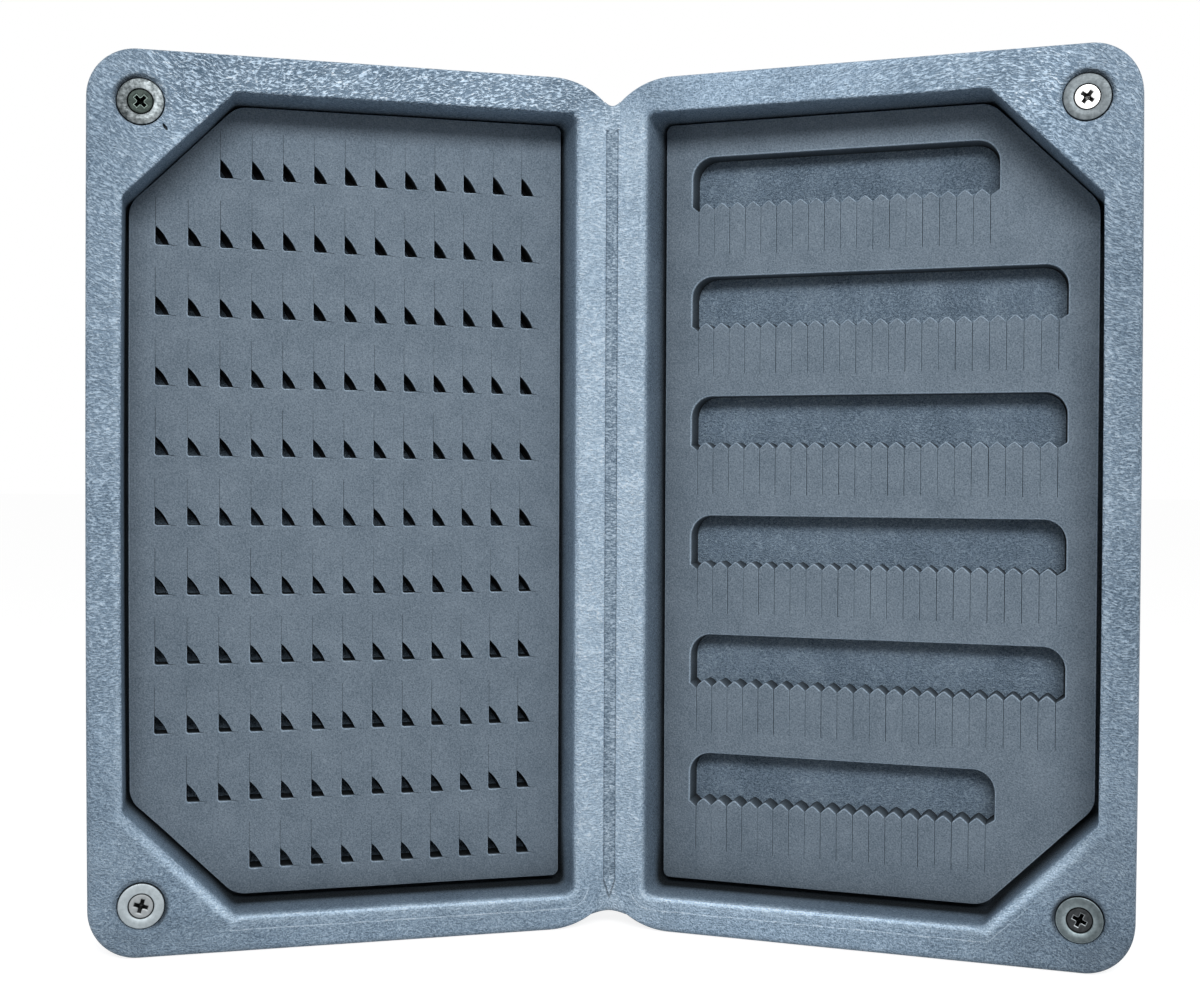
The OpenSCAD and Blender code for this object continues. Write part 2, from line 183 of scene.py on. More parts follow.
def shell_grid():
    """Section of the moulding carried round the recess: floor, fillet, wall,
    rounded lip, rim, rounded edge, side, rounded back edge and back. Each row
    is one depth on a path whose points go from the recess to the outline."""
    rows = []
    base, outer = recess_path(0), outer_path(0)
    count = len(base)
    centre = np.array([58.0, MIDDLE])

    def put(points, depth):
        rows.append(np.column_stack([points[:, 0], np.broadcast_to(depth, (count,)), points[:, 1]]))

    hinge_side = step(14, 0, outer[:, 0])

    def edge(beside_hinge, elsewhere):
        return beside_hinge * hinge_side + elsewhere * (1 - hinge_side)

    # The lip is soft beside the hinge, crisp at the head and between elsewhere
    at_hinge = step(12, 8.4, base[:, 0])
    lip = 0.6 + 1.0 * at_hinge + (
        0.25 * step(40, 14, base[:, 1]) - 0.16 * step(160, 186, base[:, 1])) * (1 - at_hinge)
    inner = recess_path(-FILLET)
    for part in (0.35, 0.7, 0.93):
        put(centre + (inner - centre) * part, RECESS_DEPTH)
    for angle in np.radians([0, 22.5, 45, 67.5, 90]):
        put(recess_path(-FILLET + FILLET * math.sin(angle)), RECESS_DEPTH - FILLET + FILLET * math.cos(angle))
    grown = recess_path(1.0) - base
    for part in np.linspace(0.12, 1, 9):
        put(base, (RECESS_DEPTH - FILLET) * (1 - part) + lip * part)
    for angle in np.radians(np.linspace(11.25, 90, 8)):
        put(base + grown * (lip * (1 - math.cos(angle)))[:, None], lip * (1 - math.sin(angle)))
    # The rim's edge: 1.6 mm round outside, crisp beside the hinge strip
    radius, setback = edge(0.3, RIM_RADIUS), edge(0.35, 0.18)
    inwards = outer_path(1.0) - outer
    rim_start = base + grown * lip[:, None]
    rim_end = outer + inwards * (radius + setback)[:, None]
    for part in np.linspace(0, 1, 34)[1:]:
        put(rim_start * (1 - part) + rim_end * part, 0)
    for angle in np.radians(np.linspace(15, 90, 6)):
        put(outer + inwards * (setback + radius * (1 - math.sin(angle)))[:, None],
            radius * (1 - math.cos(angle)))
    put(outer + inwards * edge(0.35, 0.08)[:, None], edge(1.25, 3.2))
    for part in (0, 0.25, 0.5, 0.75, 1):
        put(outer, edge(1.4, 5.5) * (1 - part) + (THICKNESS - BACK_RADIUS) * part)
    for angle in np.radians(np.linspace(10, 90, 9)):
        put(outer_path(BACK_RADIUS * (1 - math.cos(angle))),
            THICKNESS - BACK_RADIUS + BACK_RADIUS * math.sin(angle))
    back = outer_path(BACK_RADIUS)
    for part in np.linspace(0.96, 0.12, 15):
        put(centre + (back - centre) * part, THICKNESS)
    poles = [[[centre[0], depth, MIDDLE]] for depth in (RECESS_DEPTH, THICKNESS)]
    return np.concatenate([poles[0], *rows, poles[1]]), closed_faces(len(rows), count)


def solid(name, points, faces, sharp=None, material=None):
    """Mesh object in millimetres whose faces are turned outwards: the sum of
    the faces' signed volumes about the origin must be positive."""
    mesh = bpy.data.meshes.new(name)
    mesh.from_pydata((np.asarray(points) * MM).tolist(), [], faces)
    mesh.calc_loop_triangles()
    tri = np.zeros(len(mesh.loop_triangles) * 3, np.int32)
    mesh.loop_triangles.foreach_get("vertices", tri)
    a, b, c = np.asarray(points, float)[tri.reshape(-1, 3)].transpose(1, 0, 2)
    if np.einsum("ij,ij->i", a, np.cross(b, c)).sum() < 0:
        mesh.flip_normals()
    mesh.validate()
    obj = bpy.data.objects.new(name, mesh)
    scene.collection.objects.link(obj)
    mesh.shade_smooth()
    if sharp:
        mesh.set_sharp_from_angle(angle=math.radians(sharp))
    if material:
        mesh.materials.append(material)
    return obj


def turned(profile, u, z, steps):
    """Rings of points: a profile of radius and depth turned about a line
    through the rim, by the cosine and sine of even angles."""
    a = np.linspace(0, 2 * math.pi, steps, endpoint=False)
    radius, depth = np.asarray(profile, float).T[:, :, None]
    return np.stack([u + radius * np.cos(a), np.repeat(depth, steps, 1), z + radius * np.sin(a)], -1)


def lathe(profile, u, z, steps=72):
    """A turned profile that starts and ends on its line, closed in two poles."""
    points = turned(profile[1:-1], u, z, steps).reshape(-1, 3)
    first, last = ([[u, profile[k][1], z]] for k in (0, -1))
    return np.concatenate([first, points, last]), closed_faces(len(profile) - 2, steps)


def carve(obj, cutters):
    """obj with the cutters taken out of it, and the cutters deleted."""
    for cutter in cutters:
        cut = obj.modifiers.new("cut", "BOOLEAN")
        cut.operation, cut.object, cut.solver = "DIFFERENCE", cutter, "EXACT"
    bpy.context.view_layer.update()
    carved = bpy.data.meshes.new_from_object(obj.evaluated_get(bpy.context.evaluated_depsgraph_get()))
    for used in [obj, *cutters]:
        bpy.data.objects.remove(used)
    return carved


def arrays(mesh):
    """Vertex places in millimetres and the faces of a mesh."""
    places = np.zeros(len(mesh.vertices) * 3)
    mesh.vertices.foreach_get("co", places)
    return places.reshape(-1, 3) / MM, [tuple(p.vertices) for p in mesh.polygons]


def swirl(u, z, at_u, at_z, turn, reach):
    """Coordinates turned about a point by an angle that fades with distance,
    so that the skin's grain leans there."""
    du, dz = u - at_u, z - at_z
    a = np.radians(turn) * np.exp(-(du ** 2 + dz ** 2) / reach ** 2)
    return at_u + du * np.cos(a) - dz * np.sin(a), at_z + du * np.sin(a) + dz * np.cos(a)


def give(obj, **fields):
    """Named numbers at the points of a mesh, which its material reads."""
    for name, values in fields.items():
        values = np.broadcast_to(np.asarray(values, np.float32), (len(obj.data.vertices),))
        field = obj.data.attributes.new(name, "FLOAT", "POINT")
        field.data.foreach_set("value", np.ascontiguousarray(values))


def give_lay(obj, side, flat):
    """Place on the laid-flat moulding along which the skin's grain runs,
    swirled round the outer corners and finer on the recess's floor."""
    u, depth, z = flat.T
    gu, gz = swirl(u, z, 112, 184, 32 * side, 44)
    gu, gz = swirl(gu, gz, 112, 14, 22 * side, 24)
    floor = step(19, 20.5, depth) * (depth < 23) * (off_recess(u, z) < 0.5)
    lay = np.column_stack([side * (gu + 20) * (1 + 0.8 * floor), depth, gz * (1 + 0.25 * floor)]) * MM
    field = obj.data.attributes.new("lay", "FLOAT_VECTOR", "POINT")
    field.data.foreach_set("vector", lay.astype(np.float32).ravel())


def uneven(side, u, z):
    """Slow unevenness of the moulded rim, a sum of sines, in millimetres."""
    return (0.06 * np.sin(u / 9.1 + side) * np.sin(z / 13.3) + 0.03 * np.sin(u / 4.7 - z / 6.1 + side)
            + 0.02 * np.sin(z / 3.7 + 2 * np.sin(u / 11)))


def wire(tree, node, inputs):
    """Sets a node's inputs, each to a value or to another node's output."""
    for key, value in inputs.items():
        if isinstance(value, bpy.types.NodeSocket):
            tree.links.new(value, node.inputs[key])
        else:
            node.inputs[key].default_value = value


def add(tree, kind, inputs=None, **settings):
    """A shader node with its settings and inputs."""
    node = tree.nodes.new(kind)
    for key, value in settings.items():
        setattr(node, key, value)
    wire(tree, node, inputs or {})
    return node


def start_material(name):
    """An empty node material and its shader, wired to the output."""
    material = bpy.data.materials.new(name)
    material.use_nodes = True
    tree = material.node_tree
    tree.nodes.clear()
    shader = add(tree, "ShaderNodeBsdfPrincipled")
    add(tree, "ShaderNodeOutputMaterial", {"Surface": shader.outputs["BSDF"]})
    return material, tree, shader


def ramp(tree, factor, low, high, low_value, high_value):
    """Maps a value range to another one, clamped."""
    return add(tree, "ShaderNodeMapRange", {
        "Value": factor, "From Min": low, "From Max": high,
        "To Min": low_value, "To Max": high_value}).outputs[0]


def join(tree, a, b, operation="ADD"):
    """The sum of two numbers, or what another operation makes of them."""
    return add(tree, "ShaderNodeMath", {0: a, 1: b}, operation=operation).outputs[0]


def times(tree, a, b):
    return join(tree, a, b, "MULTIPLY")


def vectors(tree, a, b, operation="MULTIPLY"):
    return add(tree, "ShaderNodeVectorMath", {0: a, 1: b}, operation=operation).outputs[0]


def noise(tree, place, scale, detail, roughness=0.5):
    """Cloudy noise between 0 and 1 with a scale in cells per metre."""
    return add(tree, "ShaderNodeTexNoise", {
        "Vector": place, "Scale": scale, "Detail": detail, "Roughness": roughness}).outputs[0]


def read(tree, field, output="Fac"):
    """What give or give_lay has stored at the points."""
    return add(tree, "ShaderNodeAttribute", attribute_name=field).outputs[output]


def here(tree):
    """Place on the object, in metres."""
    return add(tree, "ShaderNodeTexCoord").outputs["Object"]


def colours(tree, factor, *stops):
    """A colour for each value of a factor, between stops of value and colour."""
    node = add(tree, "ShaderNodeValToRGB", {"Fac": factor})
    marks = node.color_ramp.elements
    for k, (value, colour) in ((0, stops[0]), (1, stops[-1])):
        marks[k].position, marks[k].color = value, (*colour, 1)
    for value, colour in stops[1:-1]:
        marks.new(value).color = (*colour, 1)
    return node.outputs["Color"]


def finish_skin(tree, shader, colour, roughness, height, relief, strength=1.0):
    """Wires a colour, a roughness and a bump of so many metres into a shader."""
    wire(tree, shader, {"Base Color": colour, "Roughness": roughness})
    bump = add(tree, "ShaderNodeBump", {"Height": height, "Distance": relief, "Strength": strength})
    wire(tree, shader, {"Normal": bump.outputs["Normal"]})


COOL_SHEEN = (0.8, 0.92, 1.0, 1)


def foam_skin(name, dark, base, pale, relief):
    """Pebbled foam skin. Where 'coarse' is 1 it is crinkled into short dashes
    with painted glints on their tops, and where it is 0 it is finely grained;
    both lie over slow clouds. Pressed skin and painted highlights are paler,
    'shade' scales the colour, and thin pale creases run at set distances 'off'
    the recess."""
    material, tree, shader = start_material(name)
    lay = read(tree, "lay", "Vector")
    wander = add(tree, "ShaderNodeTexNoise", {"Vector": lay, "Scale": 170.0, "Detail": 2.0})
    moved = vectors(tree, wander.outputs["Color"], (0.5, 0.5, 0.5), "SUBTRACT")
    warped = vectors(tree, lay, vectors(tree, moved, (0.0022, 0.0022, 0.0022)), "ADD")
    stretched = add(tree, "ShaderNodeMapping", {"Vector": warped, "Scale": (880.0, 1500.0, 2700.0)}).outputs[0]
    glinting = add(tree, "ShaderNodeMapping", {
        "Vector": warped, "Location": (7, 3, 1), "Scale": (1100.0, 1500.0, 2900.0)}).outputs[0]
    dashes = ramp(tree, noise(tree, stretched, 1.0, 2.5, 0.6), 0.42, 0.58, 0.0, 1.0)
    painted_glints = ramp(tree, noise(tree, glinting, 1.0, 1.0), 0.59, 0.7, 0.0, 1.0)
    grain = ramp(tree, noise(tree, warped, 2600.0, 2.5, 0.6), 0.36, 0.64, 0.1, 0.85)
    clouds = noise(tree, lay, 55.0, 3.0)
    coarse = read(tree, "coarse")
    height = add(tree, "ShaderNodeMix", {0: times(tree, coarse, 0.9), 2: grain, 3: dashes}).outputs[0]
    off = join(tree, read(tree, "off"), ramp(tree, wander.outputs["Fac"], 0.3, 0.7, -0.1, 0.1))
    crease = ramp(tree, join(tree, join(tree, off, CREASE, "SUBTRACT"), 0.0, "ABSOLUTE"), 0.04, 0.17, 0.7, 0.0)
    folds = ramp(tree, join(tree, times(tree, off, 7.5), 0.0, "SINE"), -0.2, 1.0, 0.0, 0.3)
    creases = join(tree, times(tree, crease, read(tree, "creased")), times(tree, folds, read(tree, "folded")))
    paler = join(tree, ramp(tree, read(tree, "pressed"), 0, 1, 0, 0.28), times(tree, creases, 0.6))
    tone = join(tree, times(tree, height, 0.62), times(tree, painted_glints, times(tree, coarse, 0.42)))
    tone = join(tree, tone, ramp(tree, clouds, 0.3, 0.7, -0.05, 0.11))
    colour = colours(tree, join(tree, tone, paler), (0.0, dark), (0.36, base), (0.72, pale),
                     (1.0, [0.4 + 0.6 * c for c in pale]))
    finish_skin(tree, shader, vectors(tree, colour, read(tree, "shade")),
                ramp(tree, height, 0.1, 0.9, 0.72, 0.5), height, relief)
    wire(tree, shader, {"Specular IOR Level": 0.42, "Specular Tint": COOL_SHEEN})
    return material


rim_foam = foam_skin("shell_skin", (0.062, 0.106, 0.157), (0.277, 0.38, 0.5), (0.52, 0.66, 0.8), 0.0003)

# One moulding is carved flat: a stepped bore for each magnet with a soft mouth
POCKET = [
    (0, -2), (7.4, -2), (6.5, -0.25), (6.0, 0.03), (5.65, 0.18), (5.4, 0.42), (5.22, 0.75), (5.13, 1.2),
    (5.1, 3.4), (3.9, 3.4), (3.9, 4.4), (2.7, 4.4), (2.7, 13.9), (0, 13.9)]
moulded = arrays(carve(solid("moulding", *shell_grid()), [
    solid("bore", *lathe(POCKET, MAGNET_U, z)) for z in MAGNETS.values()]))

# What differs between the halves: how far the recess bows out in millimetres, the
# tones of the outer rim, of its corners and of the end rims, the painted shade on
# the walls beside the hinge and down the chamfers, and the side, from below, on
# which each magnet's pocket has a painted shadow in its mouth.
HALVES = {
    LEFT: dict(
        bow=0.6, outer_rim=0.9, foot_corner=0.81, head_corner=0.89, foot_rim=(0.89, 0.95, 0.85),
        head_rim=(1.14, 1.06, 0.98), hinge_wall=1.12, chamfer=[1, 0.93, 0.8, 0.64, 0.43, 0.14, 0.05, 0.2],
        shadow_sides=((-0.95, -0.3), (0.5, 0.87))),
    RIGHT: dict(
        bow=0.3, outer_rim=0.78, foot_corner=0.66, head_corner=0.88, foot_rim=(1.18, 1.1, 0.8),
        head_rim=(1.24, 1.16, 1.0), hinge_wall=0.88, chamfer=[1, 0.76, 0.57, 0.35, 0.2, 0.1, 0.05, 0.2],
        shadow_sides=((-0.97, 0.25), (0.3, 0.95)))}
# Painted shade down the recess walls, from the lip to the floor, and on the
# floor, in the bores and in the nick
WALL_DEPTHS = [1, 4, 7, 8.2, 9.6, 10.4, 11, 12.5, 15, 20.8]
SIDE_SHADE = [1, 0.82, 0.75, 0.72, 0.66, 0.62, 0.58, 0.45, 0.12, 0.2]
HEAD_SHADE = [0.95, 0.88, 0.84, 0.8, 0.78, 0.75, 0.73, 0.65, 0.3, 0.3]
FOOT_DEPTHS = [1, 4, 7, 9.4, 10.8, 11.6, 12.2, 13.2, 15, 20.8]
FOOT_SHADE = [0.9, 0.72, 0.68, 0.63, 0.5, 0.3, 0.12, 0.03, 0.02, 0.2]
CHAMFER_DEPTHS = [1, 3.7, 5.8, 8, 10, 12.3, 14.4, 20.8]
FLOOR_SHADE, BORE_SHADE, NICK_SHADE = 0.67, 0.2, 0.06
RIM_PLACES = [20, 60, 95]


def nicked(flat, faces):
    """A small slanting nick cut in the rim beside the left upper magnet."""
    slant = math.radians(52)
    dent, dent_faces = lathe([(0, -1), (0.5, -0.6), (0.62, 0), (0.45, 0.7), (0, 1)], 0, 0, 16)
    along, across = 1.55 * dent[:, 0], 0.6 * dent[:, 2]
    dent = np.column_stack([
        NICK_U + along * math.cos(slant) + across * math.sin(slant), dent[:, 1] * 1.3,
        NICK_Z + along * math.sin(slant) - across * math.cos(slant)])
    return arrays(carve(solid("half", flat, faces), [solid("nick", dent, dent_faces)]))


for side, name in SIDES.items():
    half = HALVES[side]
    flat, shell_faces = nicked(*moulded) if side == LEFT else moulded
    flat = flat.copy()
    u, depth, z = flat.T.copy()
    off = off_recess(u, z)
    front = step(3, 0, depth)
    from_rings = [np.hypot(u - MAGNET_U, z - ring_z) for ring_z in MAGNETS.values()]
    near_magnet = np.minimum(*from_rings)
    away = step(5.3, 9.5, near_magnet)
    along = ((z - MIDDLE) / MIDDLE) ** 2
    on_hinge = step(8.6, 7.0, u) * step(3, 22, z) * step(199, 186, z)
    on_cut = step(83, 87, u) * step(36, 31, z)
    creased = front * step(28, 18, z) * (step(88, 85, u) if side == LEFT else step(101, 86, u))
    creased = creased * step(0.5, 1.5, off) * np.where(u < 9, step(13, 8, z), 1)
    # Rims a little uneven, outer side and recess slightly bowed, head wall leaning out
    groove = hill((off - CREASE) / 0.35) * creased
    stretch = hill((z - (HEIGHT - 3.1 + 0.3 * np.sin(u / 21))) / 0.5) * step(12, 24, u) * step(100, 80, u)
    flat[:, 1] += front * away * step(0.5, 4, u) * (0.11 + uneven(side, u, z) - 0.02 * groove + 0.05 * stretch)
    bulge = half["bow"] * (1 - along) * step(60, 104, u) * step(116.5, 109.8, u) * (depth < 21)
    flat[:, 0] += away * (bulge - 0.35 * along * step(95, 117, u))
    undercut = step(0.8, 13, depth) * (off < 0.3) * (depth < 21)
    flat[:, 2] += undercut * (0.4 * step(184, 190, z) - 0.6 * step(14, 9.5, z))
    # Pressed skin: the rims beside the hinge, and a band along the lower and chamfered
    # lips; on the lips themselves it carries painted highlights
    lip_at = off - 0.6 - 0.7 * on_cut
    band = hill((off - 1.0) / 2.6) * step(60, 10, z) * step(8, 20, u)
    lip_highlight = hill(lip_at / (1.15 + 0.7 * on_cut)) * step(44, 14, z)
    lip = (0.5 - 0.35 * step(150, 180, z)) * hill((off - 0.9) / 1.8)
    pressed = front * np.maximum.reduce([0.95 * on_hinge, 0.6 * band, lip, lip_highlight, 0.12 + 0 * u])
    # Painted shade: colour falls off down the walls, most at the foot, on the floor
    # and in the bores
    wall = (off < 0.3) & (depth < 21)
    foot_wall, hinge_wall = step(24, 11, z), step(12, 8, u)
    head_wall = step(np.where(u < 12, 180, 164), np.where(u < 12, 190, 171), z)
    sides = np.interp(depth, WALL_DEPTHS, SIDE_SHADE) * (1 + hinge_wall * (half["hinge_wall"] - 1))
    down = (sides * (1 - foot_wall) * (1 - head_wall)
            + foot_wall * np.interp(depth, FOOT_DEPTHS, FOOT_SHADE)
            + head_wall * np.interp(depth, WALL_DEPTHS, HEAD_SHADE))
    down += on_cut * (np.interp(depth, CHAMFER_DEPTHS, half["chamfer"]) - down)
    on_floor = (off < -1.4) & (depth > 19) & (depth < 23)
    down = np.where(on_floor, FLOOR_SHADE, down)
    bore = (near_magnet < 5.5) & (depth > 1.0) & (depth < 20)
    # The outer rims and corners are darker, by their own amounts on each half
    rim_tones_and_painted_light = 1 + (half["outer_rim"] - 1) * step(99, 108, u)
    for tones, end in (("foot_rim", step(12, 6, z)), ("head_rim", step(188, 194, z))):
        rim_tones_and_painted_light *= 1 + (np.interp(u, RIM_PLACES, half[tones]) - 1) * end * step(10, 22, u)
    for tone, reach, end in (("foot_corner", 42, 6), ("head_corner", 36, 194)):
        rim_tones_and_painted_light *= 1 + (half[tone] / half["outer_rim"] - 1) * step(reach, 12, np.hypot(u - 112, z - end))
    # Painted highlight on the lip where it faces up, and painted shade in a pocket's
    # mouth where it faces down
    rim_tones_and_painted_light *= 1 + 0.45 * hill(lip_at / (0.85 + 0.8 * on_cut)) * step(44, 14, z) * step(8, 12, u)
    rise = (z - np.where(z > MIDDLE, MAGNETS["upper"], MAGNETS["lower"])) / np.maximum(near_magnet, 1)
    rim_tones_and_painted_light *= 1 - (0.16 + 0.22 * rise) * hill((near_magnet - 5.7) / 0.9)
    # Painted shadow: a dark crescent in each pocket's mouth, on one side
    for ring_z, reach, (du, dz) in zip(MAGNETS.values(), from_rings, half["shadow_sides"]):
        facing = np.clip(((u - MAGNET_U) * du + (z - ring_z) * dz) / np.maximum(reach, 1), 0, 1) ** 2
        rim_tones_and_painted_light *= 1 - 0.92 * facing * hill((reach - 5.4) / 0.75)
    shade = np.where(bore, BORE_SHADE, np.where(wall, down, 1 - front * (1 - rim_tones_and_painted_light)))
    # Painted shade in the nick
    if side == LEFT:
        shade[(np.hypot(u - NICK_U, z - NICK_Z) < 1.2) & (depth > 0.12) & (depth < 3)] = NICK_SHADE
    # The skin is coarser towards the head, and crinkled beside the hinge
    at_head = step(178, 190, z) * step(112, 96, u) * (1 if side == LEFT else 1.3 * step(20, 110, u) - 0.6)
    coarse = (0.3 + 0.32 * step(28, 75, z) + 0.38 * at_head) * (1 - 0.4 * on_hinge)
    coarse = np.maximum(coarse, 0.52 * on_hinge * step(8, 18, z)) * (1 - 0.7 * wall * step(0.8, 3, depth))
    shell = solid(f"{name}_shell_moulding", stand(side, flat), shell_faces, 40, rim_foam)
    give_lay(shell, side, flat)
    give(shell, pressed=pressed, off=off, creased=creased, shade=shade, coarse=np.where(on_floor, 0.4, coarse),
         folded=creased * np.exp(-((u - 6.0) ** 2 + (z - 6.0) ** 2) / 14))
    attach(shell, f"{name}_half")
    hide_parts(f"{name}_shell")

# Living hinge. A strip of the same foam, pressed a millimetre thin between the
# two rims, with folds at its ends and a soft saddle at its foot. Each half of
# its width is a piece of its own.


def funnel_edge(z):
    """Distance from the middle of the pressed part's edge where it narrows to
    a point towards the foot."""
    return np.interp(z, [7.3, 12.0], [0.0, 1.45])


def hinge_half(side):
    """Half a strip as rows along its height: across its front from the shell
    to the middle, back across its rear. The front is flat in the pressed
    part, and follows the rims' planes beyond its ends."""
    v = np.concatenate([
        np.linspace(0, 0.09, 60), np.linspace(0.09, 0.93, 200)[1:], np.linspace(0.93, 1, 60)[1:]])
    foot_reach = step(9.5, 5.5, 4 + v * 190)[:, None]
    x = (1.75 + 2.6 * foot_reach) * (1 - np.linspace(0, 1, 29))
    foot = 4.0 - 0.8 * (x / 4) ** 2
    head = 193.75 + 0.9 * (x / 1.75) ** 2 * (x < 1.8) + 0.9 * (x >= 1.8)
    z = foot + (head - foot) * v[:, None]
    plane = -0.519 - math.tan(tilt) * x - 0.03 * step(0.9, 1.35, x) + 0.5 * step(3.4, 4.3, x)
    plane = plane + 0.25 * step(3.5, 0, (z - foot)) ** 2
    plane = plane + 0.28 * hill((x - funnel_edge(z)) / 0.28) * step(7.0, 7.8, z) * step(12.6, 11.8, z)
    pressed_part = step(11.85, 12.15, z) * step(188.0, 187.7, z)
    strip = -0.5 + 0.05 * (x / 1.3) ** 2 + 0.015 * np.sin(z / 2.3 + side) * np.sin(z / 5.1)
    front = plane * (1 - pressed_part) + strip * pressed_part
    front = front - 0.14 * hill((z - 12.0) / 0.3)
    back = 0.5 + 0.9 * foot_reach * np.ones_like(x)
    # Both ends close on their middle line with a round nose
    nose = np.prod([np.sqrt(1 - (1 - np.minimum(w, 1)) ** 2) for w in (v / 0.006, (1 - v) / 0.004)], 0)
    middle = (front + back) / 2
    front, back = (middle + (w - middle) * nose[:, None] for w in (front, back))
    x, y, z = (np.concatenate([a, b[:, ::-1]], 1) for a, b in ((x, x), (front, back), (z, z)))
    points = np.stack([side * x, y + fold_y, z], -1)
    return points.reshape(-1, 3), [tuple(q) for q in bands(*x.shape)]


strip_foam = foam_skin("hinge_skin", (0.045, 0.08, 0.12), (0.218, 0.295, 0.38), (0.48, 0.59, 0.7), 0.0002)
for side, name in SIDES.items():
    points, faces = hinge_half(side)
    strip = solid(f"{name}_hinge_strip", points, faces, 50, strip_foam)
    joined = bmesh.new()
    joined.from_mesh(strip.data)
    bmesh.ops.remove_doubles(joined, verts=joined.verts, dist=1e-7)
    joined.to_mesh(strip.data)
    joined.free()
    x, y, z = arrays(strip.data)[0].T
    x = np.abs(x)
    give_lay(strip, side, np.column_stack([x - fold_x, y - fold_y + fold_depth, z]))
    end = np.maximum(step(12.2, 11.4, z), step(187.6, 188.4, z))
    funnel = hill((x - funnel_edge(z)) / 0.32) * step(7.0, 7.6, z) * (z < 12)
    # Painted shade in the border grooves and the funnel's V; painted highlight on the foot crease
    border = 0.42 * step(1.05, 1.4, x) * (1 - end) + 0.62 * funnel
    over_rim = step(2.0, 3.0, x)
    give(strip, pressed=0.12 + 0.4 * end * (1 - over_rim) + 0.5 * hill((z - 11.9) / 0.35) * (x < 1.5),
         shade=(1 + 0.2 * end + 0.14 * over_rim) * (1 - border),
         coarse=0.6 + 0.15 * step(186, 189, z) - 0.5 * step(9, 6, z), off=0.0, creased=0.0, folded=0.0)
    x = side * fold_x * MM
    if side == LEFT:
        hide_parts("hinge_web")
    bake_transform(strip)

# Slotted insert. A sheet of softer, darker foam, knife-cut and glued in the
# left recess: rows of small triangles, each with a slit above its point and
# a short one beside its foot, that hold the flies by their hooks.
INSERT_FRONT, INSERT_BACK = 14.4, 20.7
INSERT_LEFT, INSERT_RIGHT, INSERT_FOOT, INSERT_HEAD = 8.4, 108.3, 9.5, 191.5
CHAMFER_FOOT, CHAMFER_HEAD = {LEFT: 23.0, RIGHT: 23.9}, {LEFT: 23.4, RIGHT: 23.6}
SLOT_HEIGHT = 4.4
rng = np.random.default_rng(7)


def insert_outline(side):
    """Outline of an insert, anticlockwise, with its lip's radius: two corners
    beside the hinge, four at the chamfers, and points along the sides."""
    left, right, foot, head = INSERT_LEFT, INSERT_RIGHT, INSERT_FOOT, INSERT_HEAD
    low, high, r, small = CHAMFER_FOOT[side], CHAMFER_HEAD[side], 6.0, 1.6
    t, s = r * math.tan(math.pi / 8), r * math.sqrt(0.5)
    a, b = np.array([[right - low - t, foot + r], [right - r, foot + low + t]])
    c, d = np.array([[right - r, head - high - t], [right - high - t, head - r]])
    outline = np.concatenate([
        arc([left + small, foot + small], small, 180, 270, 5), line([left + small, foot], [a[0], foot], 48),
        arc(a, r, 270, 315, 6), line(a + [s, -s], b + [s, -s], 18), arc(b, r, 315, 360, 6),
        line([right, b[1]], [right, c[1]], 86),
        arc(c, r, 0, 45, 6), line(c + s, d + s, 18), arc(d, r, 45, 90, 6),
        line([d[0], head], [left + small, head], 48), arc([left + small, head - small], small, 90, 180, 5),
        line([left, head - small], [left, foot + small], 110)])
    return outline, np.full(len(outline), 0.4)


def clockwise(parts):
    """A loop and its lips' radii out of parts, listed anticlockwise: points
    with one radius, or with one for each point."""
    loop = np.concatenate([points for points, _ in parts])
    lip = np.concatenate([np.broadcast_to(radius, len(points)) for points, radius in parts])
    return loop[::-1], lip[::-1]


def drifted(u, z):
    """Where a slot of the even rows lies on the real sheet: it is off by a
    quadratic in its distances across and up from the middle."""
    across, up = (u - 60) / 50, (z - 100) / 90
    return [u, z] + np.array([1, across, up, across * up, across ** 2, up ** 2]) @ [
        [-0.616, 0.04], [-0.041, 0.281], [-0.321, 0.104], [0.091, 0.33], [0.35, 0.1], [0.09, 0.124]]


def hook_slot(u, z, width, lean):
    """One cut-out with its lips' radii, clockwise: a rounded foot corner, an
    upright leg, a slit above the point, a hypotenuse that bulges a little, and
    the foot slit."""
    point, top, round_foot = z + SLOT_HEIGHT, z + 10.8, 0.55
    right, left = u + lean, u + lean - width
    corner = arc([u - round_foot, z + round_foot], round_foot, 270, 360, 4)
    leg = line([u, z + round_foot], [right, point], 4)
    up = line([right, point], [right, top], 5)
    tip = [[right, top], [left, top]]
    down = line([left, top], [left, z + 4.45], 5)[1:]
    t = np.linspace(0, 1, 7)[:, None]
    slope = np.array([left, z + 4.3]) * (1 - t) + np.array([u - 3.0, z + 0.12]) * t
    slope = slope + 4 * t * (1 - t) * 0.32 * np.array([-0.82, 0.57])
    side_slit = [[u - 4.7, z - 0.2 + width], [u - 4.75, z - 0.2], [u - 3.0, z], [u - 1.8, z]]
    return clockwise([
        (corner, 0.34), (leg, [0.32, 0.3, 0.28, 0.24]), (up, 0.05), (tip, 0.05), (down, 0.05),
        (slope, [0.1, 0.18, 0.22, 0.24, 0.22, 0.18, 0.1]), (side_slit, [0.08, 0.08, 0.14, 0.3])])


def within(places, loop):
    """Which places lie in a loop: a line from each to the right crosses it an
    odd number of times."""
    g, nxt = places[:, None], np.roll(loop, -1, 0)
    spans = (loop[None, :, 1] > g[..., 1]) != (nxt[None, :, 1] > g[..., 1])
    with np.errstate(divide="ignore", invalid="ignore"):
        crossing = loop[:, 0] + (
            g[..., 1] - loop[:, 1]) / (nxt[:, 1] - loop[:, 1]) * (nxt[:, 0] - loop[:, 0])
    return (spans & (g[..., 0] < crossing)).sum(1) % 2 == 1


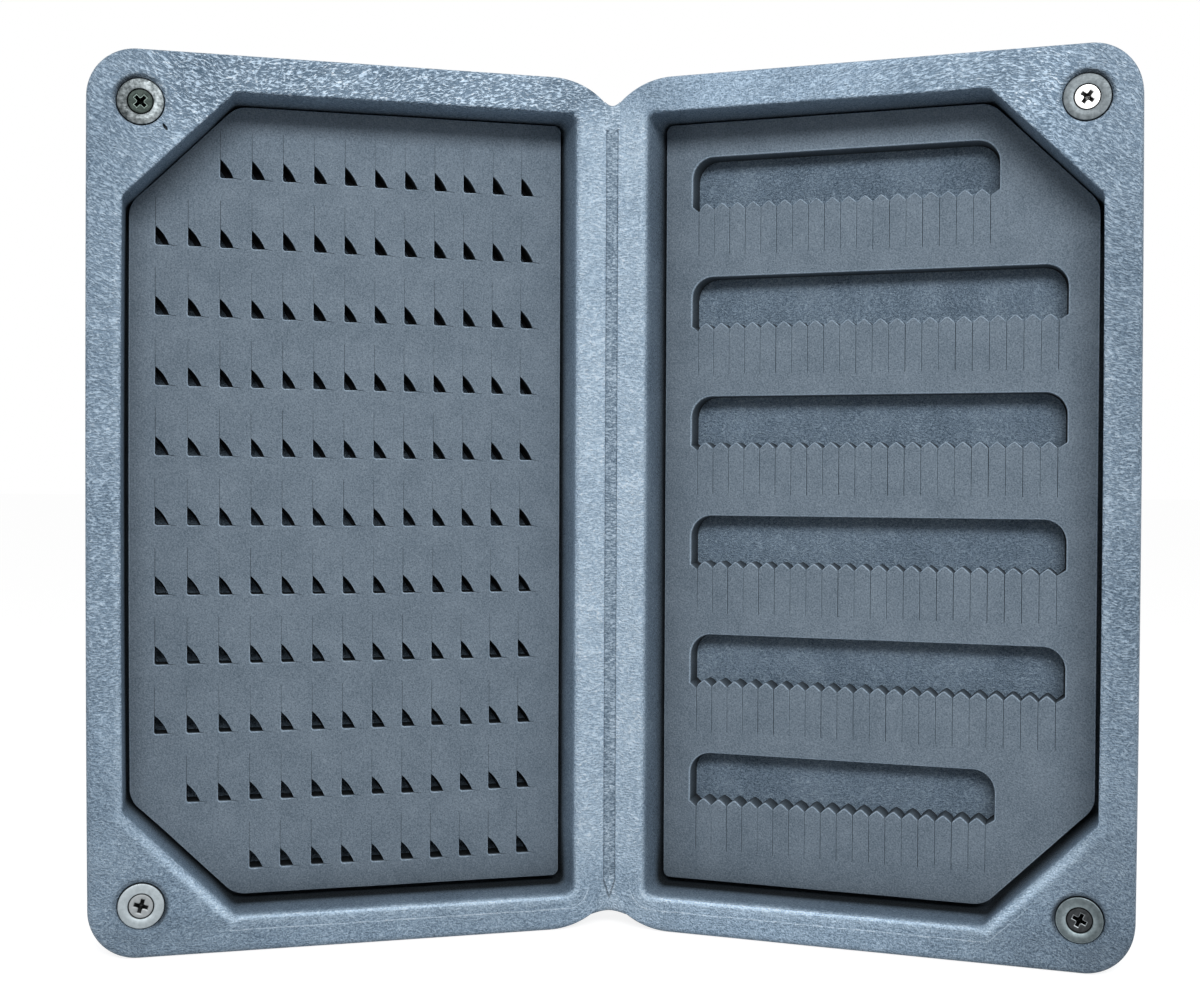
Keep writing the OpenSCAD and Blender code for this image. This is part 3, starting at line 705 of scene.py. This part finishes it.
def cut_sheet(loops, lift, inner, spacing=1.7):
    """A sheet with its cut edges: each outline's points are carried back along
    a quarter circle from the face to the wall, and the face between the
    outlines is filled with triangles over a loose grid. Each point gets a
    shade: painted highlights on the rounded lips, and painted shade, by the
    share inner, down the cut walls."""
    front, back = INSERT_FRONT, INSERT_BACK
    rows, shades, walls, edges, spans = [], [], [], [], []
    first = at = 0
    for loop, lip in loops:
        n = len(loop)
        ahead = np.roll(loop, -1, 0) - loop
        ahead /= np.linalg.norm(ahead, axis=1)[:, None]
        normal = np.column_stack([-ahead[:, 1], ahead[:, 0]])
        mitre = normal + np.roll(normal, 1, 0)
        mitre = np.where(np.linalg.norm(mitre, axis=1)[:, None] < 0.05, normal * 2, mitre)
        mitre /= np.maximum((mitre ** 2).sum(1) / 2, 0.9)[:, None]
        for angle in np.radians([0, 30, 60, 90]):
            rows.append(np.column_stack([
                loop + mitre * (lip * (1 - math.sin(angle)))[:, None], front + lip * (1 - math.cos(angle))]))
            shades.append(1 + math.sin(2 * angle) * np.clip((lip - 0.05) / 0.2, 0, 1) * 1.1)
        rows += [np.column_stack([loop, np.full(n, depth)]) for depth in (front + 1.3, back)]
        shades.append(np.repeat([inner, min(inner, 0.12)], n))
        walls.append(first + bands(6, n))
        edges += [(at + k, at + (k + 1) % n) for k in range(n)]
        spans.append((first, n))
        first, at = first + 6 * n, at + n
    points = np.concatenate(rows)
    rim, foot = (np.concatenate([f + k * n + np.arange(n) for f, n in spans]) for k in (0, 5))
    edge_points = points[rim][:, :2]
    # Loose grid of points inside the foam, clear of every outline
    gu, gz = np.meshgrid(
        np.arange(INSERT_LEFT, INSERT_RIGHT, spacing), np.arange(INSERT_FOOT, INSERT_HEAD, spacing))
    grid = np.column_stack([gu.ravel(), gz.ravel()])
    grid[:, 0] += spacing / 2 * (np.round(grid[:, 1] / spacing) % 2)
    clear, inside = np.ones(len(grid), bool), np.zeros(len(grid), int)
    for part in np.array_split(np.arange(len(grid)), 24):
        gap = ((grid[part][:, None] - edge_points[None]) ** 2).sum(-1).min(1)
        clear[part] = gap > (0.42 * spacing) ** 2
        for f, n in spans:
            inside[part] += within(grid[part], points[f:f + n, :2])
    grid = grid[clear & (inside == 1)]
    flat2d = np.concatenate([edge_points, grid])
    _, _, tris, origin, _, _ = delaunay_2d_cdt([tuple(p) for p in flat2d], edges, [], 2, 1e-6, True)
    pick = np.array([o[0] if o else -1 for o in origin])
    tri = pick[np.array([t for t in tris if len(t) == 3])]
    tri = tri[(tri >= 0).all(1)]
    # A triangle between three points of one cut-out whose middle lies in it is its opening
    owner = np.concatenate([np.full(n, k) for k, (_, n) in enumerate(spans)] + [np.full(len(grid), -1)])
    one_loop = (owner[tri] == owner[tri[:, :1]]).all(1)
    keep = np.ones(len(tri), bool)
    for k, (f, n) in enumerate(spans[1:], 1):
        mine = np.where(one_loop & (owner[tri[:, 0]] == k))[0]
        keep[mine] = ~within(flat2d[tri[mine]].mean(1), points[f:f + n, :2])
    tri = tri[keep]
    # The filling lies on the front and on the back, and the front rises and falls
    count, more = len(points), np.arange(len(grid))
    front_ids = np.concatenate([rim, count + more])
    back_ids = np.concatenate([foot, count + len(grid) + more])
    flat = np.concatenate([points, *(np.column_stack([grid, np.full(len(grid), y)]) for y in (front, back))])
    flat = flat[:, [0, 2, 1]]
    flat[:, 1] -= lift(flat[:, 0], flat[:, 2]) * step(back - 0.4, front + 1.5, flat[:, 1])
    faces = [*np.concatenate(walls).tolist(), *front_ids[tri[:, ::-1]].tolist(), *back_ids[tri].tolist()]
    return flat, faces, np.concatenate([*shades, np.ones(2 * len(grid))])


def soft_face(u, z, phase):
    """Slow unevenness of a die-cut foam face, in millimetres."""
    return 0.05 * np.sin(u / 7.3 + phase) * np.sin(z / 9.7) + 0.03 * np.sin((u + z) / 4.1)


def painted_face_shading(flat, hinge, outer, painted_edge_light):
    """Painted shade and light on an insert's face: darker towards its foot and by
    given shares towards its hinge edge and its outer edge, where the recess walls
    shade it, and lighter at its head and, by another share, along the outer edge
    itself."""
    u, _, z = flat.T
    return (1 - hinge * np.exp((INSERT_LEFT - u) / 6)) * (1 - 0.38 * np.exp((INSERT_FOOT - z) / 4.5)) * (
        1 - outer * np.exp((u - INSERT_RIGHT) / 12)) * (1 + painted_edge_light * np.exp((u - INSERT_RIGHT) / 2.5)) * (
        1 + 0.13 * np.exp((z - INSERT_HEAD) / 8))


def foam_face(name, dark, base, pale):
    """Softer foam with an open, finely speckled skin and faint clouds."""
    material, tree, shader = start_material(name)
    place = here(tree)
    cells = add(tree, "ShaderNodeTexVoronoi", {"Vector": place, "Scale": 2600.0}).outputs["Distance"]
    speckle = join(tree, ramp(tree, noise(tree, place, 2900.0, 3.0, 0.65), 0.3, 0.7, 0.0, 0.7),
                   ramp(tree, cells, 0.1, 0.75, 0.0, 0.3))
    tone = join(tree, speckle, ramp(tree, noise(tree, place, 140.0, 4.0), 0.3, 0.7, -0.1, 0.1))
    colour = vectors(tree, colours(tree, tone, (0.0, dark), (0.5, base), (1.0, pale)), read(tree, "shade"))
    finish_skin(tree, shader, colour, 0.88, speckle, 0.00012)
    wire(tree, shader, {"Specular IOR Level": 0.3, "Specular Tint": COOL_SHEEN})
    return material


insert_foam = foam_face("insert_face", (0.078, 0.11, 0.142), (0.155, 0.199, 0.247), (0.24, 0.295, 0.352))
# Even rows of slots, of which those too near a chamfer are left out: a slot's
# distance from the hinge plus or less its height stays under a limit
upper_limit, lower_limit = 270.97, 69.97
slots = np.array([
    (u, z) for z in 15.4 + 15.9 * np.arange(11) for u in 18.7 + 7.05 * np.arange(13)
    if u + z + SLOT_HEIGHT < upper_limit and u - z < lower_limit])
flaps = rng.uniform(-0.10, 0.13, len(slots))


def slot_lift(u, z):
    """Face height of the slotted insert: each flap between a slit and the
    foam beside it stands a little high or low, most at the point."""
    rise = soft_face(u, z, 1.0)
    for (su, sz), height in zip(slots, flaps):
        near = (np.abs(u - su) < 5) & (np.abs(z - sz - 5) < 8)
        du, dz = su - u[near], z[near] - sz
        rise[near] += height * (du > 0.03) * np.clip(1 - du / 3.6, 0, 1) ** 2 * hill((dz - 5.2) / 5.9)
    return rise


slot_loops = [insert_outline(LEFT)]
for u, z in (drifted(*slot) for slot in slots):
    slot_loops.append(hook_slot(
        u + rng.uniform(-0.04, 0.04), z + rng.uniform(-0.05, 0.05),
        rng.uniform(0.035, 0.07), rng.uniform(-0.05, 0.05)))
# The slots' cut walls get a near-black painted shade
flat, faces, shade = cut_sheet(slot_loops, slot_lift, 0.04)
flat[:, 0] += 0.5 * (1 - ((flat[:, 2] - 100) / 100) ** 2) * step(101, 108.3, flat[:, 0])
slotted = solid("left_slotted_insert", stand(LEFT, flat), faces, 40, insert_foam)
give(slotted, shade=shade * painted_face_shading(flat, 0.12, 0.14, 0.08))
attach(slotted, "left_half")
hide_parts("left_insert")

# Windowed insert. The same foam in the right recess, with six long windows;
# the lower edge of each is a comb of pointed tabs, parted by knife slits.
WINDOWS = [(183.3 - 28.6 * k, n) for k, n in enumerate((18, 22, 22, 22, 22, 18))]
WINDOW_LEFT, PITCH, NOTCH, INSET, SLIT, POINT = 15.0, 3.78, 12.5, 1.5, 12.0, 1.5
tab_heights = [rng.uniform(-0.1, 0.14, n) for _, n in WINDOWS]


def comb_window(top, tabs):
    """One window with its lips' radii, clockwise: its comb, whose tabs are
    pointed arches between slits and whose end notches dip, then the far wall
    and the round corners."""
    notch, start, r = top - NOTCH, WINDOW_LEFT + INSET, 5
    right = WINDOW_LEFT + 2 * INSET + tabs * PITCH
    parts = [([[WINDOW_LEFT - 0.1, notch + 0.8]], 0.3)]
    t = np.linspace(0, 1, 11)
    shape = 1 - np.abs(2 * t - 1) ** 1.3
    for k in range(tabs + 1):
        w = rng.uniform(0.04, 0.075)
        u = start + k * PITCH
        foot = notch - (0.5 if k == 0 else 0)
        down = line([u - w, foot], [u - w, notch - SLIT + rng.uniform(-0.15, 0.15)], 8)
        up = (down * [-1, 1] + [2 * u, 0])[::-1]
        end = [[u - w, down[-1, 1] - 0.4], [u + w, down[-1, 1] - 0.5]]
        parts += [(down, 0.13), (end, 0.07), (up, 0.13)]
        if k < tabs:
            arch = np.column_stack([u + w + (PITCH - 2 * w) * t, notch + POINT * shape])
            parts.append((arch[1:-1], 0.28))
    parts.append(([[right + 0.45, notch + 1.25]], 0.3))
    right += 0.5
    far = [
        line([right, notch + POINT], [right, top - r], 5), arc([right - r, top - r], r, 0, 90, 10),
        line([right - r, top], [WINDOW_LEFT + r, top], 50), arc([WINDOW_LEFT + r, top - r], r, 90, 180, 10),
        line([WINDOW_LEFT, top - r], [WINDOW_LEFT, notch + 1.2], 5)]
    return clockwise(parts + [(points, 0.42) for points in far])


def comb_lift(u, z):
    """Face height of the windowed insert: each tab stands a little high or
    low at its tip and level at the ends of its slits."""
    rise = soft_face(u, z, 2.5)
    for (top, tabs), heights in zip(WINDOWS, tab_heights):
        notch, start = top - NOTCH, WINDOW_LEFT + INSET
        k = np.floor((u - start) / PITCH).astype(int)
        on = (k >= 0) & (k < tabs) & (z < notch + 3) & (z > notch - SLIT)
        rise[on] += heights[k[on]] * step(notch - SLIT, notch + 1, z[on])
    return rise


window_loops = [insert_outline(RIGHT), *(comb_window(*w) for w in WINDOWS)]
# The windows' cut walls get a painted shade
flat, faces, shade = cut_sheet(window_loops, comb_lift, 0.6)
windowed = solid("right_windowed_insert", stand(RIGHT, flat), faces, 40, insert_foam)
give(windowed, shade=shade * painted_face_shading(flat, 0.3, 0.0, 0.2))
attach(windowed, "right_half")
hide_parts("right_insert")

# Glue sheets. Thin double-sided tape behind each insert, cut through with it
# and kept back from its edges. Its near-black colour is painted shade, so that
# the slots look black down to it.


def clouded(tree, shader, clouds, low, high, smooth, dull):
    """Wires a colour and a roughness that go from one to another over clouds."""
    wire(tree, shader, {
        "Base Color": colours(tree, clouds, (0.0, low), (1.0, high)),
        "Roughness": ramp(tree, clouds, 0.3, 0.7, smooth, dull)})


def dress(name, material):
    """Gives a solid of the frame, which is seen as it is, its material."""
    node = frame["nodes"][name]
    node.data.materials.clear()
    node.data.materials.append(material)


tape, tree, shader = start_material("tape_black_as_painted_shade")
fibres = noise(tree, here(tree), 700.0, 5.0, 0.7)
clouded(tree, shader, fibres, (0.012, 0.014, 0.018), (0.035, 0.04, 0.048), 0.7, 0.9)
shader.inputs["Specular IOR Level"].default_value = 0.15
for name in SIDES.values():
    dress(f"{name}_adhesive", tape)

# Ring magnets. Sintered rings with nickel plating, countersunk for a screw and
# sunk in the rims. Each ring's plating has its own tone, a painted reflection,
# with painted highlights on one side and on its edges and painted shade in its
# countersink.


def plated(name, low, high, rough, scratch):
    """Satin plating: its colour goes from low to high over small stains, and
    its roughness varies along short scratches; 'shade' scales the colour."""
    material, tree, shader = start_material(name)
    place = here(tree)
    marks = add(tree, "ShaderNodeMapping", {
        "Vector": place, "Rotation": (0, 0.7, 0), "Scale": (900.0, 900.0, 5200.0)}).outputs[0]
    fine = noise(tree, marks, 1.0, 3.0, 0.7)
    colour = colours(tree, noise(tree, place, 900.0, 5.0, 0.65), (0.36, low), (0.64, high))
    finish_skin(tree, shader, vectors(tree, colour, read(tree, "shade")),
                ramp(tree, fine, 0.3, 0.7, rough - scratch, rough + scratch), fine, 0.00001, 0.7)
    shader.inputs["Metallic"].default_value = 1.0
    return material


def ring(profile, u, z, steps=72):
    """A closed profile turned about its line: a ring with a hole."""
    count = len(profile)
    faces = bands(count + 1, steps) % (count * steps)
    return turned(profile, u, z, steps).reshape(-1, 3), [tuple(q) for q in faces]


RING = [
    (2.95, 0.4), (4.0, 0.4), (4.76, 0.4), (4.88, 0.43), (4.96, 0.5), (4.99, 0.6), (5.0, 0.85), (5.0, 3.2),
    (4.92, 3.37), (4.7, 3.4), (1.7, 3.4), (1.53, 3.2), (1.53, 1.92), (2.8, 0.58), (2.86, 0.46)]
FASTENERS = [(side, f"{name}_{level}", MAGNETS[level]) for side, name in SIDES.items()
             for level in ("upper", "lower")]
# Plating, whose tone is a painted reflection; the share of a painted highlight
# on one side, that side in degrees from the outer side, and how bright the
# painted highlights on the ring's edges are
RING_PLATING_AND_PAINTED_LIGHT = {
    "left_upper": (
        plated("nickel_mottled_dark_reflection", (0.03, 0.036, 0.038), (0.15, 0.168, 0.175), 0.5, 0.12), 0.5, 160, 2.0),
    "left_lower": (plated("nickel_light_reflection", (0.3, 0.34, 0.36), (0.37, 0.415, 0.44), 0.55, 0.05), 0.04, 90, 1.1),
    "right_upper": (plated("nickel_grey_reflection", (0.08, 0.093, 0.1), (0.14, 0.159, 0.17), 0.54, 0.08), 0.1, 90, 1.5),
    "right_lower": (
        plated("nickel_dark_reflection", (0.08, 0.1, 0.107), (0.13, 0.156, 0.166), 0.54, 0.07), 0.12, 200, 2.0)}
for side, name, z in FASTENERS:
    points, faces = ring(RING, MAGNET_U, z)
    plating, highlight_share, towards, edge = RING_PLATING_AND_PAINTED_LIGHT[name]
    magnet = solid(f"{name}_ring_magnet", stand(side, points), faces, 35, plating)
    # Painted highlights on the edges and one side, painted shade in the countersink and bore
    a = np.radians(np.arange(72) * 5 - towards)
    rows = np.array([edge, 1, 1, edge, edge, 0.7, 0.3, 0.2, 0.2, 0.2, 0.2, 0.2, 0.12, 0.3, edge])[:, None]
    give(magnet, shade=(rows * (1 + highlight_share * np.cos(a))).ravel())
    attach(magnet, f"{name.split('_')[0]}_half")
    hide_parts(f"{name}_magnet")

# Screws. Flat heads with a cross recess, each driven to its own angle; each
# has its own tone, a painted reflection: two are bright, two are dark.
HEAD = 0.55
SCREW = [
    (0, 0), (1.2, 0), (2.1, 0), (2.5, 0), (2.6, 0.03), (2.66, 0.11), (2.62, 0.2), (1.45, 1.39),
    (1.45, 8.05), (0.3, 9.4), (0, 9.5)]
CORE = [(0, -0.5), (0.9, -0.5), (0.9, 0), (0.76, 0.08), (0.3, 1.4), (0, 1.6)]
# Depth, half length and half width of an arm of the cross
ARM = [
    (-0.5, 1.74, 0.6), (0, 1.7, 0.57), (0.08, 1.55, 0.42), (0.16, 1.47, 0.41), (0.7, 1.0, 0.34),
    (1.35, 0.42, 0.2)]
# Turn of the cross in degrees, how bright the painted highlight on its edge is,
# and the plating, whose tone is a painted reflection
SCREW_TURNS_AND_PAINTED_LIGHT = {
    "left_upper": (
        45, 16.0, plated("screw_green_black_reflection", (0.018, 0.024, 0.022), (0.032, 0.041, 0.037), 0.5, 0.06)),
    "left_lower": (17, 0.6, plated("screw_grey_reflection", (0.26, 0.28, 0.29), (0.32, 0.34, 0.35), 0.52, 0.05)),
    "right_upper": (-38, 0.8, plated("screw_white_reflection", (0.8, 0.8, 0.79), (0.9, 0.9, 0.89), 0.4, 0.05)),
    "right_lower": (-25, 9.0, plated("screw_black_reflection", (0.026, 0.029, 0.031), (0.05, 0.054, 0.057), 0.5, 0.06))}


def cross_arm(z, turn):
    """A bar that cuts one arm of the cross: its ends and sides draw in with
    depth, and it is turned by an angle in the plane of the head."""
    along, depth, across = np.array([
        (a * length, HEAD + down, b * width) for down, length, width in ARM
        for a, b in ((-1, -1), (1, -1), (1, 1), (-1, 1))]).T
    c, s = math.cos(turn), math.sin(turn)
    faces = [(3, 2, 1, 0), (20, 21, 22, 23)] + [
        (k + m, k + (m + 1) % 4, k + 4 + (m + 1) % 4, k + 4 + m) for k in range(0, 20, 4) for m in range(4)]
    return solid("arm", np.column_stack([
        MAGNET_U + along * c - across * s, depth, z + along * s + across * c]), faces)


for side, name, z in FASTENERS:
    angle, edge_highlight, plating_and_reflection = SCREW_TURNS_AND_PAINTED_LIGHT[name]
    turn = math.radians(angle)
    blank, core = (np.array(profile) + [0, HEAD] for profile in (SCREW, CORE))
    cutters = [solid("middle", *lathe(core, MAGNET_U, z, 16))]
    cutters += [cross_arm(z, turn + quarter) for quarter in (0, math.pi / 2)]
    flat, faces = arrays(carve(solid("blank", *lathe(blank, MAGNET_U, z, 64)), cutters))
    screw = solid(f"{name}_flat_head_screw", stand(side, flat), faces, 35, plating_and_reflection)
    # Painted shade below the face, and a painted highlight on the turned-in edge of
    # the cross
    in_cross, below = np.hypot(flat[:, 0] - MAGNET_U, flat[:, 2] - z) < 2.0, flat[:, 1] - HEAD
    give(screw, shade=np.where(
        in_cross, np.interp(below, [0, 0.08, 0.16], [1, edge_highlight, 0.1]), np.where(below > 0.02, 0.1, 1.0)))
    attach(screw, f"{name.split('_')[0]}_half")
    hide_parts(f"{name}_screw")

# Anchors. Nylon plugs set in the foam behind the magnets; only their material
# changes here.
nylon, tree, shader = start_material("natural_nylon")
clouded(tree, shader, noise(tree, here(tree), 300.0, 3.0), (0.7, 0.68, 0.6), (0.86, 0.85, 0.79), 0.38, 0.5)
for _, name, _ in FASTENERS:
    dress(f"{name}_anchor", nylon)

# Studio. A white floor that keeps the box's shadow, a white surround, a broad
# soft lamp above the front and the camera at the photograph's place.


def seen_directly(tree):
    """1 where a ray comes from the camera or off a mirror or through glass."""
    rays = add(tree, "ShaderNodeLightPath").outputs
    return join(tree, join(tree, rays["Is Camera Ray"], rays["Is Glossy Ray"]), rays["Is Transmission Ray"])


paper, tree, shader = start_material("white_paper")
finish_skin(tree, shader, (0.36, 0.36, 0.36, 1), 0.95, noise(tree, here(tree), 900.0, 2.0), 0.00002, 0.3)
shader.inputs["Specular IOR Level"].default_value = 0.0
shader.inputs["Emission Color"].default_value = (1, 1, 1, 1)
tree.links.new(times(tree, seen_directly(tree), 0.84), shader.inputs["Emission Strength"])
floor = solid("floor", [(-8000, -8000, 0), (8000, -8000, 0), (8000, 8000, 0), (-8000, 8000, 0)],
              [(0, 1, 2, 3)], material=paper)

world = bpy.data.worlds.new("studio")
scene.world = world
world.use_nodes = True
tree = world.node_tree
tree.nodes.clear()
level = ramp(tree, seen_directly(tree), 0, 1, 0.4, 1.0)
surround = add(tree, "ShaderNodeBackground", {"Color": (1, 1, 1, 1), "Strength": level})
add(tree, "ShaderNodeOutputWorld", {"Surface": surround.outputs[0]})

light = bpy.data.lights.new("front_softbox", "AREA")
light.shape, light.energy, light.size, light.size_y = "RECTANGLE", 5.0, 0.5, 0.19
softbox = bpy.data.objects.new("front_softbox", light)
softbox.location = (0.08, -0.72, 0.45)
softbox.rotation_euler = (Vector((0, 0, 0.1)) - softbox.location).to_track_quat("-Z", "Y").to_euler()
scene.collection.objects.link(softbox)

camera = bpy.data.objects.new("camera", bpy.data.cameras.new("camera"))
camera.data.lens, camera.data.sensor_width, camera.data.sensor_fit = 46.487, 36.0, "HORIZONTAL"
camera.data.clip_start, camera.data.clip_end = 0.01, 50
camera.location = (0.011322, -0.359219, 0.106692)
camera.rotation_euler = [math.radians(a) for a in (89.018, -0.2506, 2.1816)]
scene.collection.objects.link(camera)
scene.camera = camera
scene.view_settings.view_transform = "Standard"
